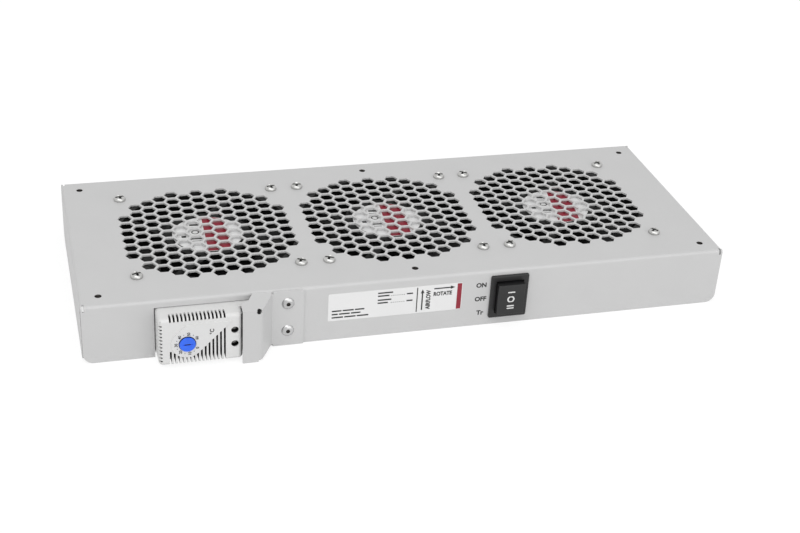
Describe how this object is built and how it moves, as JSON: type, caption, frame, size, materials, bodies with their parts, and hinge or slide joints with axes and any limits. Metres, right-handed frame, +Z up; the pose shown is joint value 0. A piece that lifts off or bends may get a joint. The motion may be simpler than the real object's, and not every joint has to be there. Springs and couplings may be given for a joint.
{
  "type": "rack fan tray",
  "caption": "Folded sheet tray with hexagonal grilles over axial fans, a slotted thermostat under a riveted hood, and a rocker switch on its front flange.",
  "frame": {"origin": "centre of the top panel's outer face, which is the centre of the mounting hole pattern", "axes": "+Z up, out of the top panel; +X along the tray; -Y towards the flange with the thermostat and the switch"},
  "size_m": [0.4288, 0.1852, 0.0433],
  "materials": {
    "tray_paint": "light grey powder coat",
    "fan_frame": "black",
    "impeller": "black",
    "motor_steel": "plain",
    "brass": "plain",
    "fan_label": "white foil with a red band",
    "tab_metal": "tinned",
    "zinc": "zinc plated",
    "rivet": "plain",
    "thermostat_plastic": "light grey",
    "dial_blue": "blue",
    "inner_plastic": "dark grey",
    "switch_black": "black satin",
    "front_label": "white foil",
    "grommet_rubber": "black"
  },
  "bodies": {
    "tray": {"tray_panel": "tray_paint", "rail_plate": "tray_paint", "thermostat_hood": "tray_paint", "fan_frame_left": "fan_frame", "fan_frame_middle": "fan_frame", "fan_frame_right": "fan_frame", "stator_left": "motor_steel", "stator_middle": "motor_steel", "stator_right": "motor_steel", "bearings_left": "brass", "bearings_middle": "brass", "bearings_right": "brass", "fan_label_left": "fan_label", "fan_label_middle": "fan_label", "fan_label_right": "fan_label", "fan_terminals": "tab_metal", "fan_screws": "zinc", "fan_nuts": "zinc", "hood_rivets": "rivet", "thermostat_housing": "thermostat_plastic", "thermostat_base": "thermostat_plastic", "thermostat_switch_block": "inner_plastic", "thermostat_terminal_screws": "zinc", "bimetal_strip": "brass", "switch_housing": "switch_black", "switch_terminals": "tab_metal", "front_label": "front_label", "terminal_block": "inner_plastic", "terminal_block_screws": "zinc", "cable_grommet": "grommet_rubber"},
    "impeller_body_left": {"impeller_left": "impeller", "rotor_shaft_left": "motor_steel", "rotor_ring_left": "motor_steel"},
    "impeller_body_middle": {"impeller_middle": "impeller", "rotor_shaft_middle": "motor_steel", "rotor_ring_middle": "motor_steel"},
    "impeller_body_right": {"impeller_right": "impeller", "rotor_shaft_right": "motor_steel", "rotor_ring_right": "motor_steel"},
    "dial": {"thermostat_dial": "dial_blue"},
    "rocker": {"switch_rocker": "switch_black"}
  },
  "joints": [
    {"name": "impeller_spin_left", "type": "hinge", "parent": "tray", "child": "impeller_body_left", "pos_m": [-0.1235, 0, 0], "axis": [0, 0, 1], "continuous": true},
    {"name": "impeller_spin_middle", "type": "hinge", "parent": "tray", "child": "impeller_body_middle", "pos_m": [0, 0, 0], "axis": [0, 0, 1], "continuous": true},
    {"name": "impeller_spin_right", "type": "hinge", "parent": "tray", "child": "impeller_body_right", "pos_m": [0.1235, 0, 0], "axis": [0, 0, 1], "continuous": true},
    {"name": "dial_turn", "type": "hinge", "parent": "tray", "child": "dial", "pos_m": [-0.1511, -0.0977, -0.0234], "axis": [0, -1, 0], "range_deg": [-148, 148]},
    {"name": "rocker_tilt", "type": "hinge", "parent": "tray", "child": "rocker", "pos_m": [0.0613, -0.0823, -0.0194], "axis": [1, 0, 0], "range_deg": [-10, 10]}
  ]
}
